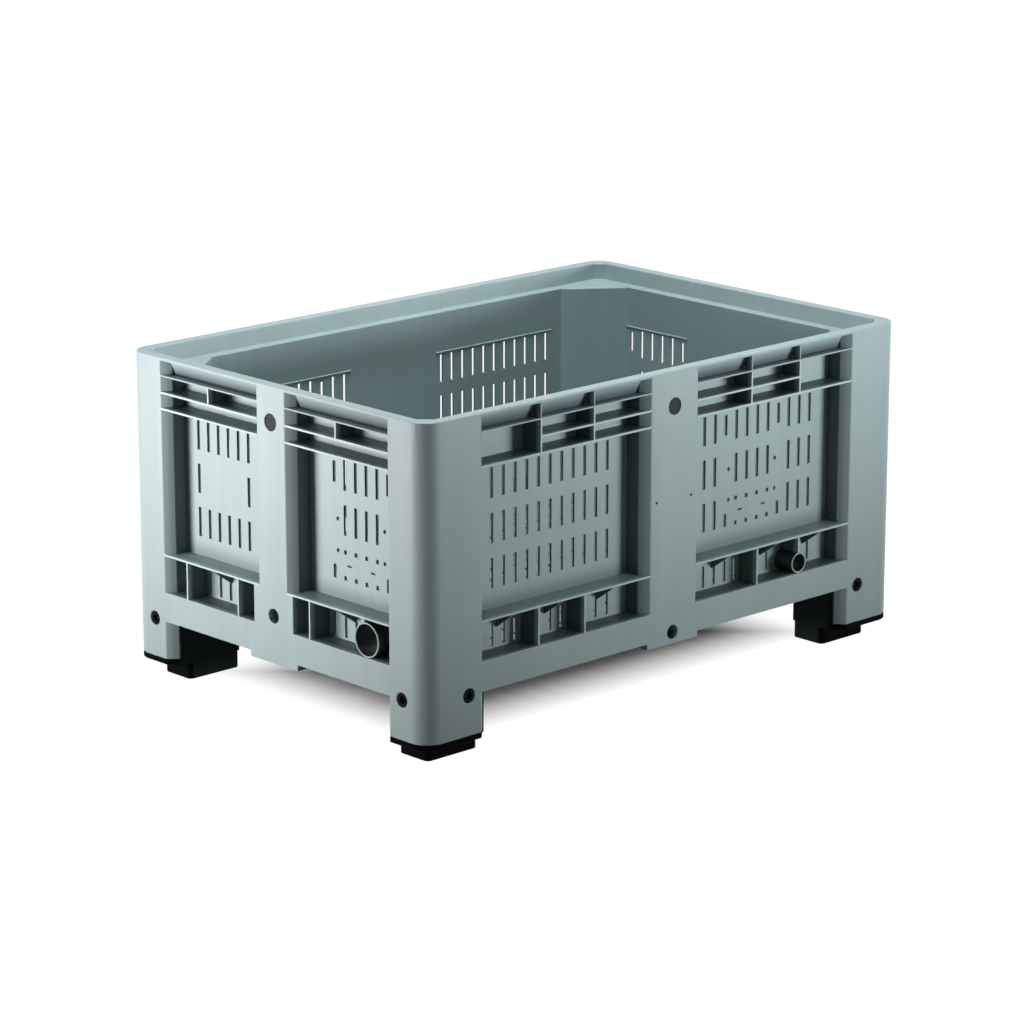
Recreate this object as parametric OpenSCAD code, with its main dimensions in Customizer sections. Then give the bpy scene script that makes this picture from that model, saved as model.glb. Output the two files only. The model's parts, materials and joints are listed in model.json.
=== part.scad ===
// Stackable plastic fruit bin with slotted walls, four feet and two drain spouts.
// Millimetres, +Z up, origin on the floor under the middle of the bin, +X along the long side.

/* [Bin] */
// Length over the posts
bin_length = 1200; // [1100:10:1400]
// Width over the posts
bin_width = 800; // [760:10:1000]
// Height from the floor to the rim
bin_height = 610; // [590:5:800]
// Radius of the upright outer corners
corner_radius = 38; // [30:1:44]

/* [Walls] */
// Depth from the outer plane to the panels
panel_depth = 45; // [40:1:55]
// Thickness of the panels and of hollow sections
wall = 5; // [4:0.5:7]
// Thickness of ribs, shelves and ledges
rib = 4; // [3:0.5:6]
// Face width of a corner post on the long side
corner_face_long = 130; // [120:1:145]
// Face width of a corner post on the short side
corner_face_short = 92; // [88:1:105]
// Face width of the middle post on the long side
middle_face_long = 116; // [90:1:130]
// Face width of the middle post on the short side
middle_face_short = 74; // [60:1:90]
// Depth of the bevel on the sides of the posts
post_bevel = 17; // [12:1:19]
// Run of the bin's inner corner bevel along the long side
inner_bevel_long = 105; // [100:1:125]
// Run of the bin's inner corner bevel along the short side
inner_bevel_short = 80; // [62:1:95]

/* [Rim] */
// Height of the stacking lip above its ledge
lip_height = 31; // [24:1:36]
// Thickness of the rim flange
flange = 6; // [4:1:8]
// Width of the rim's top
lip_width = 23; // [21:1:26]
// Lean of the lip from top to ledge
lip_lean = 4; // [2:1:6]

/* [Ribs and shelf] */
// Drop from the ledge to the first rib below it
rib_two_drop = 32; // [26:1:36]
// Drop from the ledge to the second rib below it
rib_three_drop = 62; // [52:1:68]
// Room between the wide spout and the shelf above it
shelf_room = 5.5; // [3:0.5:20]
// Floor to the top of the bottom beam
beam_top = 170.5; // [162:0.5:180]
// Floor to the underside of the bottom beam
beam_bottom = 115; // [110:1:120]
// Width of the tongue at the middle of a beam
tongue_width = 130; // [100:1:150]
// Drop of the tongue below the beam
tongue_drop = 11; // [6:1:14]
// Distance of the long side's upper dividers from the posts
divider_gap = 125; // [90:1:160]
// Distance of the long side's first lower rib from the middle post
sill_gap_middle_long = 146; // [120:1:170]
// Distance of the long side's second lower rib from the corner post
sill_gap_corner_long = 120; // [90:1:150]
// Distance of the short side's first lower rib from the middle post
sill_gap_middle_short = 44; // [30:1:60]
// Distance of the short side's second lower rib from the corner post
sill_gap_corner_short = 49; // [30:1:65]
// Height of the gussets under the shelf
gusset_height = 32; // [20:1:40]

/* [Slots] */
// Width of a slot
slot_width = 7; // [5:0.5:10]
// Length of a slot behind the lower ribs
low_slot_length = 40; // [24:1:44]
// Distance from slot to slot
slot_pitch = 28; // [26:1:30]
// Bare height above the top row of slots
row_margin_top = 18; // [10:1:30]
// Bare height below the bottom row of slots
row_margin_bottom = 36; // [20:1:50]
// Bare height between two rows of slots
row_gap = 27; // [18:1:36]
// Diameter of the holes around a tag's field
tag_hole_diameter = 7; // [4:0.5:8]
// Distance between the tag's holes along the wall
tag_hole_spread = 123; // [116:1:128]
// Width of the flat slots in a tag's field
tag_slot_width = 11; // [8:0.5:14]
// Height of the flat slots in a tag's field
tag_slot_height = 3; // [2:0.5:5]
// Distance between the flat slots of a tag's field
tag_slot_spread = 61; // [58:1:64]
// Bare width at both ends of the slots in half a long wall
column_margin_long = 49; // [35:1:80]
// Bare width between the slots of a short wall and the middle post
column_margin_middle = 62.5; // [40:0.5:80]
// Bare width between the slots of a short wall and the corner post
column_margin_corner = 34.5; // [25:0.5:60]

/* [Floor] */
// Thickness of the floor
floor_thickness = 6; // [5:0.5:10]
// Height of the ribs under the floor
floor_rib_height = 34; // [20:1:38]
// Length of a floor slot
floor_slot_length = 70; // [40:1:80]
// Width of a floor slot
floor_slot_width = 10; // [6:1:14]
// Distance from floor slot to floor slot along the bin
floor_pitch_x = 50; // [40:1:60]
// Distance from floor slot to floor slot across the bin
floor_pitch_y = 100; // [95:1:120]

/* [Feet] */
// Height of a foot's pad
pad_height = 32; // [26:1:38]
// Inset of the pad from the outer planes
pad_inset = 38; // [34:1:44]
// Radius of the pad's corners
pad_radius = 10; // [6:1:14]
// Thickness of the foot's flange
foot_flange = 10; // [6:1:12]
// Reach of a foot from the short side's outer plane
foot_reach_long = 156; // [150:1:175]
// Reach of a foot from the long side's outer plane
foot_reach_short = 113; // [111:1:125]
// Thickness of the leg's skirt
skirt = 22; // [20:1:26]

/* [Pins, plugs and spouts] */
// Diameter of a foot pin
pin_diameter = 26; // [20:1:30]
// Length of a foot pin
pin_length = 48; // [40:1:52]
// Distance of the long side's pins from the end of the bin
pin_offset_long = 101; // [90:1:110]
// Distance of the short side's pins from the corner
pin_offset_short = 61; // [55:1:66]
// Diameter of a middle post plug
plug_diameter = 32; // [24:1:36]
// Diameter of the open holes low on the walls
hole_diameter = 26; // [20:1:30]
// Height of the long side's hole above the end of the tongue
hole_rise_long = 22; // [18:1:40]
// Height of the short side's hole above the beam
hole_rise_short = 21; // [18:1:30]
// Depth of the open holes
hole_depth = 25; // [20:1:30]
// Bore of the wide spout on the short side
wide_bore = 57; // [40:1:58]
// Bore of the narrow spout on the long side
narrow_bore = 33; // [24:1:40]
// Wall of a spout
spout_wall = 3; // [2:0.5:4]
// Room between the wide spout and the corner post
wide_gap = 11.5; // [5:0.5:30]
// Room between the narrow spout and the corner post
narrow_gap = 98.5; // [80:0.5:120]

/* [Hidden] */
$fn = 64;
// Overrun of every cut
over = 1;
// Free play of a pin or plug in its hole, on the radius
play = 0.05;
// Room between a lower rib and a spout that passes through it
spout_room = 0.4;
// Room between a foot's spigot and the hollow of its post
spigot_room = 2;
// Room between the end of a pin and the end of its hole
pin_end_room = 1;
// Setback of pins, plugs and spouts behind the outer plane
pin_recess = 2;
plug_recess = 1.5;
spout_recess = 1;
plug_length = 8;
pin_socket_depth = 8;
// Run of the facet in the lip's inner corners
lip_facet = 17;
// Step down from the stacking ledge to the seat that the lips stand on
ledge_step = 1;

SIDES = ["front", "back", "left", "right"];
CORNERS = ["front_left", "front_right", "back_left", "back_right"];
// Side, hand as seen from outside, and name of each half wall
HALVES = [
    ["front", -1, "front_left"],
    ["front", 1, "front_right"],
    ["back", -1, "back_right"],
    ["back", 1, "back_left"],
    ["left", -1, "left_back"],
    ["left", 1, "left_front"],
    ["right", -1, "right_front"],
    ["right", 1, "right_back"]
];
PIN_FACES = ["long", "short"];

shell_grey = "#9db0b2";
foot_black = "#1a1c1e";

// Heights
leg_bottom = pad_height + foot_flange;
ledge_top = bin_height - lip_height;
ledge_bottom = ledge_top - rib;
lip_base = ledge_top - ledge_step;
rib_two = ledge_top - rib_two_drop;
rib_three = ledge_top - rib_three_drop;
wide_outer = wide_bore + 2 * spout_wall;
narrow_outer = narrow_bore + 2 * spout_wall;
wide_height = beam_top + wide_outer / 2;
narrow_height = beam_top + narrow_outer / 2;
shelf_bottom = beam_top + wide_outer + shelf_room;
shelf_top = shelf_bottom + rib;
beam_under = beam_top - wall;
tongue_bottom = beam_bottom - tongue_drop;
hole_height_long = tongue_bottom + hole_rise_long;
hole_height_short = beam_top + hole_rise_short;
block_top = hole_height_short + hole_diameter;
pin_height = beam_bottom;
spigot_top = pin_height + pin_diameter;
floor_top = beam_under;
plug_height = rib_two - wall / 2;
panel_clear = rib_three - rib - shelf_top;
slot_length = (panel_clear - row_margin_top - row_margin_bottom - 2 * row_gap) / 3;
row_pitch = slot_length + row_gap;
row_foot = shelf_top + row_margin_bottom;
// Open stretches of a slot as shares of its length, from its foot to its head
full_slot_shares = [[0, 1]];
short_slot_shares = [[0.2, 0.9]];
stub_slot_shares = [[0, 0.45]];
slot_end_shares = [[0, 0.13], [0.87, 1]];

// Depths from the outer plane
inner_depth = panel_depth + wall;
head_depth = lip_width - wall;
lip_foot = lip_width + lip_lean;
pin_socket_diameter = pin_diameter / 2;

// Ends of the posts' side walls, from the end of the wall
corner_wall_long = corner_face_long + post_bevel;
corner_wall_short = corner_face_short + post_bevel;
bevel_end_long = inner_depth + inner_bevel_long;
bevel_end_short = inner_depth + inner_bevel_short;

function is_long(side) = side == "front" || side == "back";
function wall_length(side) = is_long(side) ? bin_length : bin_width;
function side_depth(side) = is_long(side) ? bin_width / 2 : bin_length / 2;
function side_turn(side) = side == "front" ? 0 : side == "back" ? 180 : side == "left" ? -90 : 90;
function corner_face(side) = is_long(side) ? corner_face_long : corner_face_short;
function middle_half(side) = (is_long(side) ? middle_face_long : middle_face_short) / 2;
function bay_end(side) = wall_length(side) / 2 - corner_face(side);
function bay_from(side) = middle_half(side) + post_bevel;
function bay_to(side) = bay_end(side) - post_bevel;
function columns_from(side) = bay_from(side) + (is_long(side) ? column_margin_long : column_margin_middle);
function columns_to(side) = bay_to(side) - (is_long(side) ? column_margin_long : column_margin_corner);
function bay_columns(side) = round((columns_to(side) - columns_from(side)) / slot_pitch) + 1;
function divider_places(side) = is_long(side)
    ? [bay_from(side) + divider_gap, bay_to(side) - divider_gap]
    : [(bay_from(side) + bay_to(side)) / 2];
function sill_places(side) = is_long(side)
    ? [bay_from(side) + sill_gap_middle_long, bay_to(side) - sill_gap_corner_long]
    : [bay_from(side) + sill_gap_middle_short, bay_to(side) - sill_gap_corner_short];
function gusset_places(side) =
    let (sills = sill_places(side))
    is_long(side)
        ? [(bay_from(side) + sills[0]) / 2, (sills[0] + sills[1]) / 2, (sills[1] + bay_to(side)) / 2]
        : [(sills[0] + sills[1]) / 2];

// Puts a wall's own frame, x along it to the right, y inwards from its outer plane, in its place.
module on_side(side) {
    rotate([0, 0, side_turn(side)])
        translate([0, -side_depth(side), 0])
            children();
}

// Puts a corner's own frame, x and y inwards from its two outer planes, in its place.
module at_corner(corner) {
    turned_x = corner == "front_right" || corner == "back_right" ? 1 : 0;
    turned_y = corner == "back_left" || corner == "back_right" ? 1 : 0;
    mirror([turned_x, 0, 0])
        mirror([0, turned_y, 0])
            translate([-bin_length / 2, -bin_width / 2, 0])
                children();
}

// A box given by its two ends on each axis.
module span(x0, x1, y0, y1, z0, z1) {
    translate([x0, y0, z0])
        cube([x1 - x0, y1 - y0, z1 - z0]);
}

// A hole that runs inwards from a wall's outer plane.
module inward(x, z, diameter, y0, y1) {
    translate([x, y0, z])
        rotate([-90, 0, 0])
            cylinder(d = diameter, h = y1 - y0);
}

// Plan of the whole bin with its rounded corners.
module bin_plan() {
    for (x = [-1, 1], y = [-1, 1])
        translate([x * (bin_length / 2 - corner_radius), y * (bin_width / 2 - corner_radius)])
            circle(r = corner_radius);
    square([bin_length - 2 * corner_radius, bin_width], center = true);
    square([bin_length, bin_width - 2 * corner_radius], center = true);
}

// Plan of one bay of a wall between two post faces, back to the given depth.
module bay_plan(from, to, depth) {
    polygon([
        [from, 0],
        [to, 0],
        [to - post_bevel, post_bevel],
        [to - post_bevel, depth],
        [from + post_bevel, depth],
        [from + post_bevel, post_bevel]
    ]);
}

// One bay plan of the right half of a wall, drawn on the hand asked for.
module half_bay_plan(side, hand, depth) {
    mirror([hand < 0 ? 1 : 0, 0])
        bay_plan(middle_half(side), bay_end(side), depth);
}

// Plate that fills one bay of a wall in front of its panel.
module half_bay(side, hand, z0, z1) {
    translate([0, 0, z0])
        linear_extrude(z1 - z0)
            half_bay_plan(side, hand, panel_depth);
}

// Plan of a corner post, drawn inwards by the given inset on every wall.
module corner_plan(inset) {
    turn = inset * (sqrt(2) - 1);
    run = norm([inner_bevel_long, inner_bevel_short]);
    end_x = corner_wall_long - inset;
    end_y = corner_wall_short - inset;
    // On the inner bevel, moved in by the inset, x and y follow from each other.
    bevel_y = bevel_end_short
        - (end_x - inner_depth) * inner_bevel_short / inner_bevel_long
        - inset * run / inner_bevel_long;
    bevel_x = bevel_end_long
        - (end_y - inner_depth) * inner_bevel_long / inner_bevel_short
        - inset * run / inner_bevel_short;
    inner_edge = inset > 0
        ? [[end_x, bevel_y], [bevel_x, end_y]]
        : [
            [end_x, inner_depth],
            [bevel_end_long, inner_depth],
            [inner_depth, bevel_end_short],
            [inner_depth, end_y]
        ];
    polygon(concat(
        [
            [corner_radius, inset],
            [corner_face_long - turn, inset],
            [end_x, post_bevel + turn]
        ],
        inner_edge,
        [
            [post_bevel + turn, end_y],
            [inset, corner_face_short - turn],
            [inset, corner_radius]
        ]
    ));
    translate([corner_radius, corner_radius])
        circle(r = corner_radius - inset);
}

// Plan of the leg's skirt, an L behind the two outer faces.
module skirt_plan() {
    polygon([
        [corner_radius, 0],
        [corner_face_long, 0],
        [corner_wall_long, post_bevel],
        [corner_wall_long, skirt],
        [skirt, skirt],
        [skirt, corner_wall_short],
        [post_bevel, corner_wall_short],
        [0, corner_face_short],
        [0, corner_radius]
    ]);
    intersection() {
        translate([corner_radius, corner_radius])
            circle(r = corner_radius);
        difference() {
            square(corner_radius);
            translate([skirt, skirt])
                square(corner_radius);
        }
    }
}

// Holes for the two pins of a corner, from the outer planes to the given depth.
module pin_holes(depth) {
    translate([pin_offset_long, -over, pin_height])
        rotate([-90, 0, 0])
            cylinder(d = pin_diameter, h = depth + over);
    translate([-over, pin_offset_short, pin_height])
        rotate([0, 90, 0])
            cylinder(d = pin_diameter, h = depth + over);
}

// Corner post: a hollow section that runs from the leg's foot up to the stacking ledge, with a
// step around the ledge for the lips.
module corner_post(corner) {
    color(shell_grey)
        at_corner(corner)
            difference() {
                union() {
                    difference() {
                        translate([0, 0, beam_bottom])
                            linear_extrude(ledge_top - beam_bottom)
                                corner_plan(0);
                        translate([0, 0, beam_bottom - over])
                            linear_extrude(ledge_bottom - beam_bottom + over)
                                corner_plan(wall);
                    }
                    translate([0, 0, leg_bottom])
                        linear_extrude(spigot_top - leg_bottom)
                            skirt_plan();
                }
                pin_holes(skirt + over);
                translate([0, 0, lip_base])
                    linear_extrude(ledge_step + over) {
                        translate([-over, -over])
                            square([corner_wall_long + 2 * over, lip_foot + over]);
                        translate([-over, -over])
                            square([lip_foot + over, corner_wall_short + 2 * over]);
                        facet_plan();
                    }
            }
}

// Foot: a pad, a flange under the leg, a body behind it and a spigot up into the post.
module foot(corner) {
    body_x = foot_reach_long - skirt;
    body_y = foot_reach_short - skirt;
    color(foot_black)
        at_corner(corner)
            difference() {
                union() {
                    linear_extrude(pad_height)
                        foot_pad_plan();
                    translate([0, 0, pad_height])
                        linear_extrude(foot_flange) {
                            skirt_plan();
                            translate([skirt, skirt])
                                square([body_x, body_y]);
                        }
                    translate([skirt, skirt, leg_bottom])
                        cube([body_x, body_y, beam_bottom - leg_bottom]);
                    translate([0, 0, beam_bottom])
                        linear_extrude(spigot_top - beam_bottom)
                            intersection() {
                                corner_plan(wall + spigot_room);
                                translate([skirt, skirt])
                                    square([body_x, body_y]);
                            }
                }
                pin_holes(pin_recess + pin_length + pin_end_room);
            }
}

module foot_pad_plan() {
    for (x = [pad_inset + pad_radius, foot_reach_long - pad_radius])
        for (y = [pad_inset + pad_radius, foot_reach_short - pad_radius])
            translate([x, y])
                circle(r = pad_radius);
    translate([pad_inset + pad_radius, pad_inset])
        square([foot_reach_long - pad_inset - 2 * pad_radius, foot_reach_short - pad_inset]);
    translate([pad_inset, pad_inset + pad_radius])
        square([foot_reach_long - pad_inset, foot_reach_short - pad_inset - 2 * pad_radius]);
}

// Foot pin: a plain pin, a little below the leg's face, with a socket to draw it out by.
module foot_pin(corner, face) {
    shank = pin_diameter - 2 * play;
    color(foot_black)
        at_corner(corner)
            translate(face == "long" ? [pin_offset_long, 0, pin_height] : [0, pin_offset_short, pin_height])
                rotate(face == "long" ? [-90, 0, 0] : [0, 90, 0])
                    translate([0, 0, pin_recess])
                        difference() {
                            cylinder(d = shank, h = pin_length);
                            translate([0, 0, -over])
                                cylinder(d = pin_socket_diameter, h = pin_socket_depth + over);
                        }
}

// Bottom beam: an upside-down channel between two corner posts, with a tongue at its middle.
module beam(side) {
    end = bay_end(side);
    inner_end = end - post_bevel;
    color(shell_grey)
        on_side(side)
            difference() {
                union() {
                    translate([0, 0, beam_under])
                        linear_extrude(wall)
                            bay_plan(-end, end, inner_depth);
                    intersection() {
                        translate([0, 0, beam_bottom])
                            linear_extrude(beam_top - beam_bottom)
                                bay_plan(-end, end, inner_depth);
                        union() {
                            span(-end, end, 0, wall, beam_bottom, beam_top);
                            span(-end, -inner_end + wall, 0, inner_depth, beam_bottom, beam_top);
                            span(inner_end - wall, end, 0, inner_depth, beam_bottom, beam_top);
                        }
                    }
                    span(-inner_end, inner_end, panel_depth, inner_depth, beam_bottom, beam_top);
                    for (hand = [-1, 1], x = sill_places(side))
                        upright(hand * x, 0, inner_depth, beam_bottom, beam_top);
                    span(-tongue_width / 2, tongue_width / 2, 0, hole_depth, tongue_bottom, beam_top);
                }
                if (is_long(side))
                    inward(0, hole_height_long, hole_diameter, -over, hole_depth + over);
            }
}

// Middle post: a hollow section that stands on the beam and carries the ledge.
module middle_post(side) {
    half = middle_half(side);
    outer = half + post_bevel;
    color(shell_grey)
        on_side(side)
            difference() {
                union() {
                    translate([0, 0, beam_top])
                        linear_extrude(ledge_bottom - beam_top)
                            post_plan(half, 0);
                    if (!is_long(side))
                        span(-outer, outer, 0, inner_depth, beam_top, shelf_bottom);
                }
                translate([0, 0, is_long(side) ? beam_top - over : block_top])
                    linear_extrude(ledge_bottom - beam_top + 2 * over)
                        post_plan(half, wall);
                inward(0, plug_height, plug_diameter, -over, wall + over);
                if (!is_long(side))
                    inward(0, hole_height_short, hole_diameter, -over, hole_depth);
            }
}

// Plan of a middle post, drawn inwards by the given inset on every wall.
module post_plan(half, inset) {
    turn = inset * (sqrt(2) - 1);
    outer = half + post_bevel - inset;
    polygon([
        [turn - half, inset],
        [half - turn, inset],
        [outer, post_bevel + turn],
        [outer, inner_depth - inset],
        [-outer, inner_depth - inset],
        [-outer, post_bevel + turn]
    ]);
}

// Plug that closes the round hole high on a middle post.
module post_plug(side) {
    color(foot_black)
        on_side(side)
            inward(0, plug_height, plug_diameter - 2 * play, plug_recess, plug_recess + plug_length);
}

// Halves with a bare field for a label, and halves with a field for a tag that holes surround.
function has_label(name) = name == "left_back" || name == "right_front";
function has_tag(name) =
    name == "left_front" || name == "right_back" || name == "front_right" || name == "back_left";

// First and last column beside the field for a tag.
function tag_edges(side) = is_long(side) ? [2, bay_columns(side) - 4] : [0, bay_columns(side) - 1];

// Open stretches of the slots of one column of a half wall, from the bottom row to the top row.
function slot_rows(side, name, column) =
    let (
        inner = column > 0 && column < bay_columns(side) - 1,
        edges = tag_edges(side),
        beside_tag = has_tag(name) && (column == edges[0] || column == edges[1]),
        in_tag = has_tag(name) && column > edges[0] && column < edges[1]
    )
    has_label(name) && inner ? [full_slot_shares, [], full_slot_shares]
    : beside_tag ? [stub_slot_shares, [], short_slot_shares]
    : in_tag ? [slot_end_shares, full_slot_shares, full_slot_shares]
    : [full_slot_shares, full_slot_shares, full_slot_shares];

function column_place(side, column) =
    (columns_from(side) + columns_to(side)) / 2 + (column - (bay_columns(side) - 1) / 2) * slot_pitch;

// Place along its wall, height, bore and outer diameter of the spout in a half wall, if it has one.
function spout_of(name) =
    name == "left_front"
        ? [bay_to("left") - wide_gap - wide_outer / 2, wide_height, wide_bore, wide_outer]
    : name == "front_right"
        ? [bay_to("front") - narrow_gap - narrow_outer / 2, narrow_height, narrow_bore, narrow_outer]
    : [0, 0, 0, 0];

// Slotted panel of half a wall, with a hole where a spout passes through.
module panel(side, hand, name) {
    spout = spout_of(name);
    low_foot = beam_top + rib;
    color(shell_grey)
        on_side(side)
            mirror([hand < 0 ? 1 : 0, 0, 0])
                difference() {
                    span(bay_from(side), bay_to(side), panel_depth, inner_depth, beam_top, ledge_bottom);
                    for (column = [0:bay_columns(side) - 1]) {
                        x = column_place(side, column);
                        rows = slot_rows(side, name, column);
                        for (row = [0:2], open = rows[row])
                            slot(
                                x, slot_width,
                                row_foot + row * row_pitch + open[0] * slot_length,
                                row_foot + row * row_pitch + open[1] * slot_length
                            );
                        if (abs(x - spout[0]) > spout[3] / 2 + slot_width)
                            slot(x, slot_width, low_foot, low_foot + low_slot_length);
                    }
                    if (has_tag(name))
                        tag_holes(side);
                    if (spout[2] > 0)
                        inward(
                            spout[0], spout[1], spout[3] + 2 * play,
                            panel_depth - over, inner_depth + over
                        );
                }
}

module slot(x, width, z0, z1) {
    span(x - width / 2, x + width / 2, panel_depth - over, inner_depth + over, z0, z1);
}

// Four round holes and two flat slots that fix a tag to a panel.
module tag_holes(side) {
    edges = tag_edges(side);
    middle = (column_place(side, edges[0]) + column_place(side, edges[1])) / 2;
    low_row = row_foot + slot_length / 2;
    for (hand = [-1, 1]) {
        for (z = [row_foot + slot_length - slot_width / 2, low_row + row_pitch])
            inward(
                middle + hand * tag_hole_spread / 2, z, tag_hole_diameter,
                panel_depth - over, inner_depth + over
            );
        slot(
            middle + hand * tag_slot_spread / 2, tag_slot_width,
            low_row - tag_slot_height / 2, low_row + tag_slot_height / 2
        );
    }
}

// Ribs of a wall between the ledge and the panels' slots, both halves.
module upper_ribs(side) {
    // On a long wall the middle rib stops at the outer dividers, which stand on the lowest rib.
    reach = is_long(side) ? max(divider_places(side)) + rib / 2 : bay_end(side);
    divider_foot = (is_long(side) ? rib_three : rib_two) - rib;
    color(shell_grey)
        on_side(side)
            for (hand = [-1, 1]) {
                half_bay(side, hand, rib_three - rib, rib_three);
                intersection() {
                    half_bay(side, hand, rib_two - rib, rib_two);
                    span(-reach, reach, -over, panel_depth, rib_three, rib_two);
                }
                for (x = divider_places(side))
                    upright(hand * x, 0, panel_depth, divider_foot, ledge_bottom);
            }
}

// One upright rib, its thickness centred on its place.
module upright(x, y0, y1, z0, z1) {
    span(x - rib / 2, x + rib / 2, y0, y1, z0, z1);
}

// Shelf under the panels' slots, both halves, with gussets below.
module shelf(side) {
    color(shell_grey)
        on_side(side)
            for (hand = [-1, 1]) {
                half_bay(side, hand, shelf_bottom, shelf_top);
                for (x = gusset_places(side))
                    translate([hand * x - rib / 2, 0, shelf_bottom])
                        rotate([90, 0, 90])
                            linear_extrude(rib)
                                polygon([[0, 0], [panel_depth, 0], [panel_depth, -gusset_height]]);
            }
}

// Upright ribs between the beam and the shelf; a spout passes through one of them.
module sill_ribs(side) {
    spout = spout_of(side == "left" ? "left_front" : side == "front" ? "front_right" : "");
    passage = spout[3] + 2 * spout_room;
    color(shell_grey)
        on_side(side)
            difference() {
                for (hand = [-1, 1], x = sill_places(side))
                    upright(hand * x, 0, panel_depth, beam_top, shelf_bottom);
                if (spout[2] > 0) {
                    inward(spout[0], spout[1], passage, -over, panel_depth + over);
                    span(
                        spout[0] - passage / 2, spout[0] + passage / 2,
                        -over, panel_depth + over,
                        beam_top - over, spout[1]
                    );
                }
            }
}

// Stacking ledge of one wall, which is also its topmost rib, with a step for the lip.
module ledge(side) {
    end = bay_end(side);
    color(shell_grey)
        on_side(side)
            difference() {
                translate([0, 0, ledge_bottom])
                    linear_extrude(rib)
                        bay_plan(-end, end, inner_depth);
                span(-end - over, end + over, -over, lip_foot, lip_base, ledge_top + over);
            }
}

// Rim lip of one wall: a flange, a leaning lip and the heads of the posts under it. The long lips
// run through the corners and hold the facets there, and the short lips end against them.
module rim_lip(side) {
    color(shell_grey)
        difference() {
            intersection() {
                linear_extrude(bin_height + over)
                    bin_plan();
                union() {
                    on_side(side)
                        intersection() {
                            lip_section(side);
                            lip_ends(side);
                        }
                    if (is_long(side))
                        lip_facets(side);
                }
            }
            if (!is_long(side))
                for (long_side = ["front", "back"])
                    lip_facets(long_side);
        }
}

// Section of a lip along its whole wall, with the heads of the posts and dividers.
module lip_section(side) {
    reach = wall_length(side) / 2;
    end = bay_end(side);
    half = middle_half(side);
    flange_bottom = bin_height - flange;
    translate([-reach, 0, 0])
        rotate([90, 0, 90])
            linear_extrude(2 * reach)
                polygon([
                    [0, bin_height],
                    [0, flange_bottom],
                    [head_depth - wall, flange_bottom],
                    [head_depth + lip_lean, lip_base],
                    [lip_foot, lip_base],
                    [lip_width, bin_height]
                ]);
    translate([0, 0, lip_base])
        linear_extrude(flange_bottom - lip_base) {
            head_plan(-half, half);
            head_plan(end, reach);
            head_plan(-reach, -end);
        }
    if (is_long(side))
        for (hand = [-1, 1], x = divider_places(side))
            upright(hand * x, 0, head_depth, lip_base, flange_bottom);
}

// Space that a lip fills along its wall: a short lip ends on the leaning faces of the long lips.
module lip_ends(side) {
    reach = wall_length(side) / 2;
    half_top = is_long(side) ? reach : reach - lip_width;
    half_foot = is_long(side) ? reach : reach - lip_foot;
    rotate([90, 0, 0])
        translate([0, 0, -lip_foot])
            linear_extrude(lip_foot)
                polygon([
                    [-half_foot, lip_base],
                    [half_foot, lip_base],
                    [half_top, bin_height],
                    [-half_top, bin_height]
                ]);
}

// Facets that close the inner corners at both ends of a long lip.
module lip_facets(side) {
    for (corner = [str(side, "_left"), str(side, "_right")])
        at_corner(corner)
            translate([0, 0, lip_base])
                linear_extrude(bin_height - lip_base)
                    facet_plan();
}

module facet_plan() {
    reach = lip_width + lip_lean + lip_facet;
    polygon([[lip_width, lip_width], [reach, lip_width], [lip_width, reach]]);
}

// Plan of a post's head in front of the lip.
module head_plan(from, to) {
    polygon([
        [from, 0],
        [to, 0],
        [to + post_bevel, post_bevel],
        [to + post_bevel, head_depth + lip_lean],
        [from - post_bevel, head_depth + lip_lean],
        [from - post_bevel, post_bevel]
    ]);
}

// Perforated floor with ribs under it, between the beams and the corner posts.
module base_deck() {
    half_x = bin_length / 2 - inner_depth;
    half_y = bin_width / 2 - inner_depth;
    count_x = floor((half_x - inner_bevel_long - floor_slot_width) / floor_pitch_x);
    count_y = floor((half_y - floor_slot_length / 2 - floor_slot_width) / floor_pitch_y);
    bays_per_rib = 4;
    color(shell_grey)
        difference() {
            union() {
                translate([0, 0, floor_top - floor_thickness])
                    linear_extrude(floor_thickness)
                        deck_plan(half_x, half_y);
                translate([0, 0, floor_top - floor_thickness - floor_rib_height])
                    linear_extrude(floor_rib_height)
                        intersection() {
                            deck_plan(half_x, half_y);
                            union() {
                                for (i = [0:bays_per_rib:count_x], hand = [-1, 1])
                                    translate([hand * (i * floor_pitch_x + floor_pitch_x / 2), 0])
                                        square([wall, 2 * half_y], center = true);
                                for (j = [-count_y:count_y - 1])
                                    translate([0, j * floor_pitch_y + floor_pitch_y / 2])
                                        square([2 * half_x, wall], center = true);
                            }
                        }
            }
            for (i = [-count_x:count_x], j = [-count_y:count_y])
                translate([i * floor_pitch_x, j * floor_pitch_y, floor_top - floor_thickness / 2])
                    cube([floor_slot_width, floor_slot_length, floor_thickness + 2 * over], center = true);
        }
}

module deck_plan(half_x, half_y) {
    polygon([
        for (corner = [[1, 1], [-1, 1], [-1, -1], [1, -1]], end = [0, 1])
            let (first = corner[0] * corner[1] > 0 ? end == 0 : end == 1)
            first
                ? [corner[0] * half_x, corner[1] * (half_y - inner_bevel_short)]
                : [corner[0] * (half_x - inner_bevel_long), corner[1] * half_y]
    ]);
}

// Drain spout: an open tube through a panel, its mouth just behind the outer plane.
module spout(side, place) {
    color(shell_grey)
        on_side(side)
            difference() {
                inward(place[0], place[1], place[3], spout_recess, inner_depth);
                inward(place[0], place[1], place[2], spout_recess - over, inner_depth + over);
            }
}

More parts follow.
